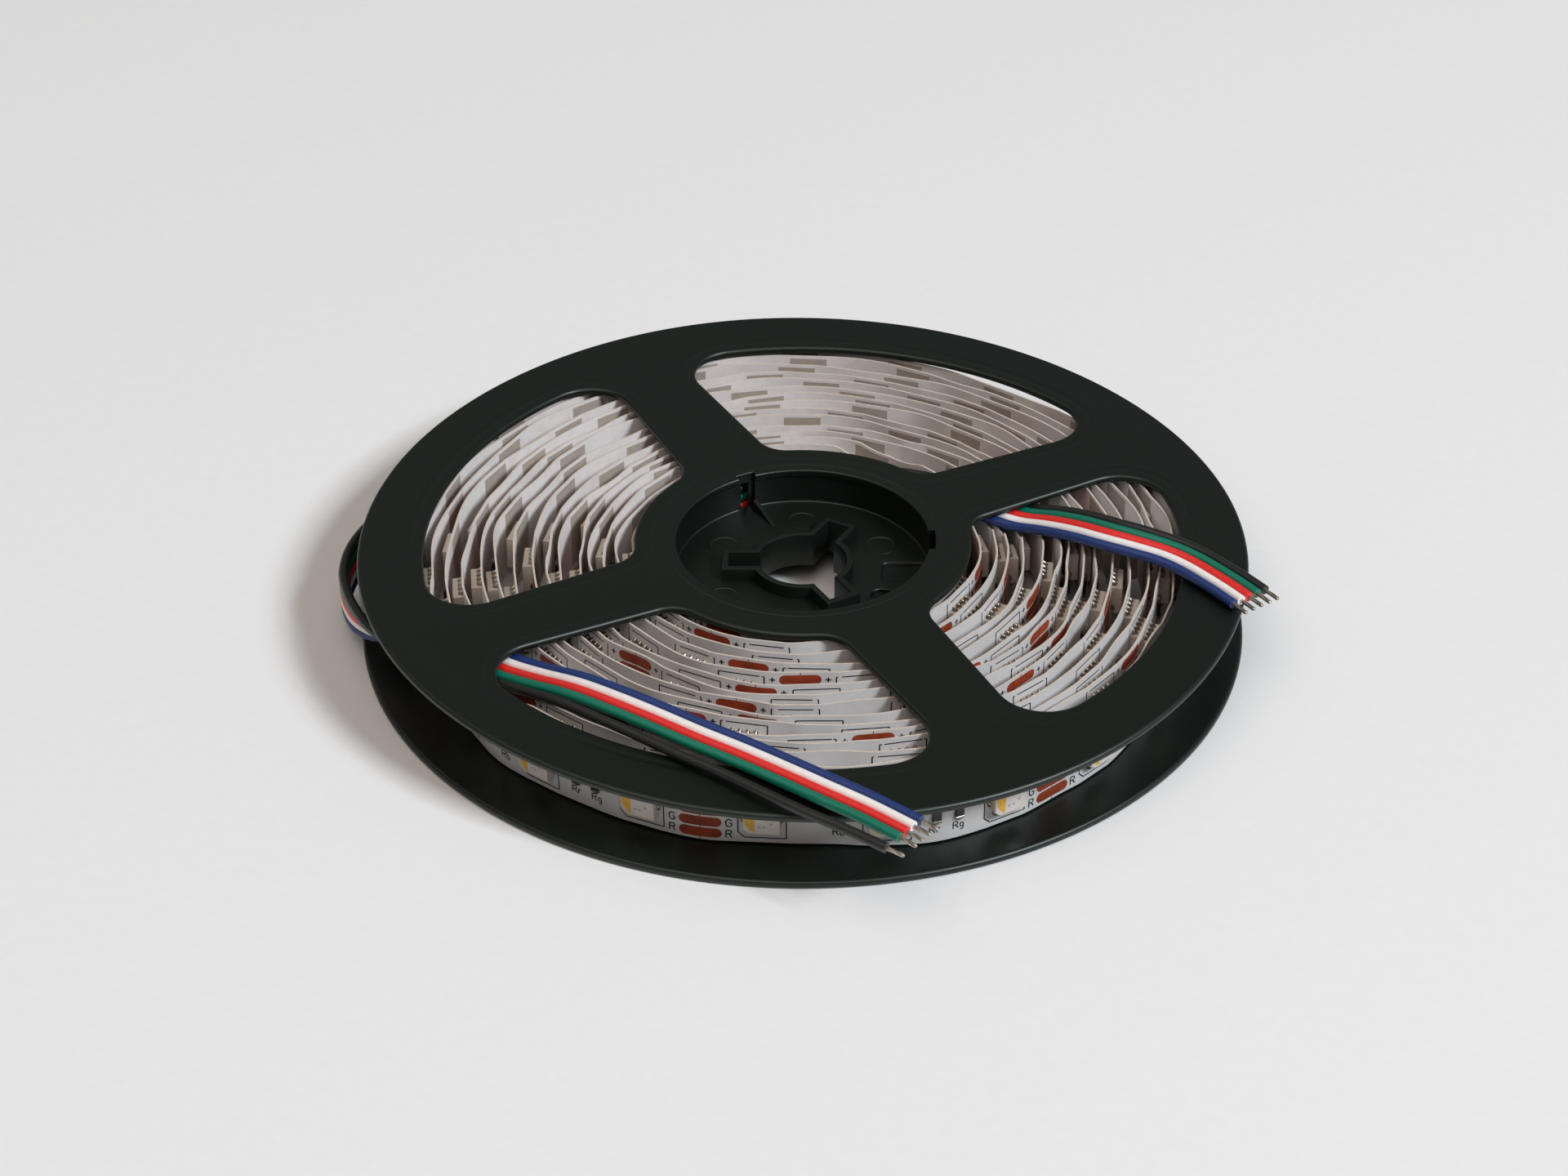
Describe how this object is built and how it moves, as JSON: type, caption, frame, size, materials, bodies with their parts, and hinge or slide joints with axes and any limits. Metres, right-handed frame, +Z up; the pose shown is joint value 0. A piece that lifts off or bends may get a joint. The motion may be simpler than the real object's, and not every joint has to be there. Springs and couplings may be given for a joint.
{
  "type": "led strip light reel",
  "caption": "Two-flange plastic reel with windows and a keyed hub, wound with flexible LED strip whose five-wire ribbon leads end in tinned tips.",
  "frame": {"origin": "centre of the lower flange's outer face, on the reel's axis", "axes": "+Z up along the reel's axis; -Y towards the viewer of the picture, +X to the viewer's right"},
  "size_m": [0.1357, 0.1405, 0.0149],
  "materials": {
    "black_abs": "fine matte moulded ABS",
    "strip_film": "white solder mask on flexible film",
    "black_wire": "soft PVC",
    "green_wire": "soft PVC",
    "red_wire": "soft PVC",
    "white_wire": "soft PVC",
    "blue_wire": "soft PVC",
    "tinned_copper": "dull tin over stranded copper"
  },
  "bodies": {
    "root": {"upper_reel_half": "black_abs", "lower_reel_half": "black_abs", "led_strip": "strip_film", "outer_lead_black_wire": "black_wire", "outer_lead_green_wire": "green_wire", "outer_lead_red_wire": "red_wire", "outer_lead_white_wire": "white_wire", "outer_lead_blue_wire": "blue_wire", "outer_lead_black_tinned_end": "tinned_copper", "outer_lead_green_tinned_end": "tinned_copper", "outer_lead_red_tinned_end": "tinned_copper", "outer_lead_white_tinned_end": "tinned_copper", "outer_lead_blue_tinned_end": "tinned_copper", "inner_lead_black_wire": "black_wire", "inner_lead_green_wire": "green_wire", "inner_lead_red_wire": "red_wire", "inner_lead_white_wire": "white_wire", "inner_lead_blue_wire": "blue_wire", "inner_lead_black_tinned_end": "tinned_copper", "inner_lead_green_tinned_end": "tinned_copper", "inner_lead_red_tinned_end": "tinned_copper", "inner_lead_white_tinned_end": "tinned_copper", "inner_lead_blue_tinned_end": "tinned_copper"}
  },
  "joints": []
}
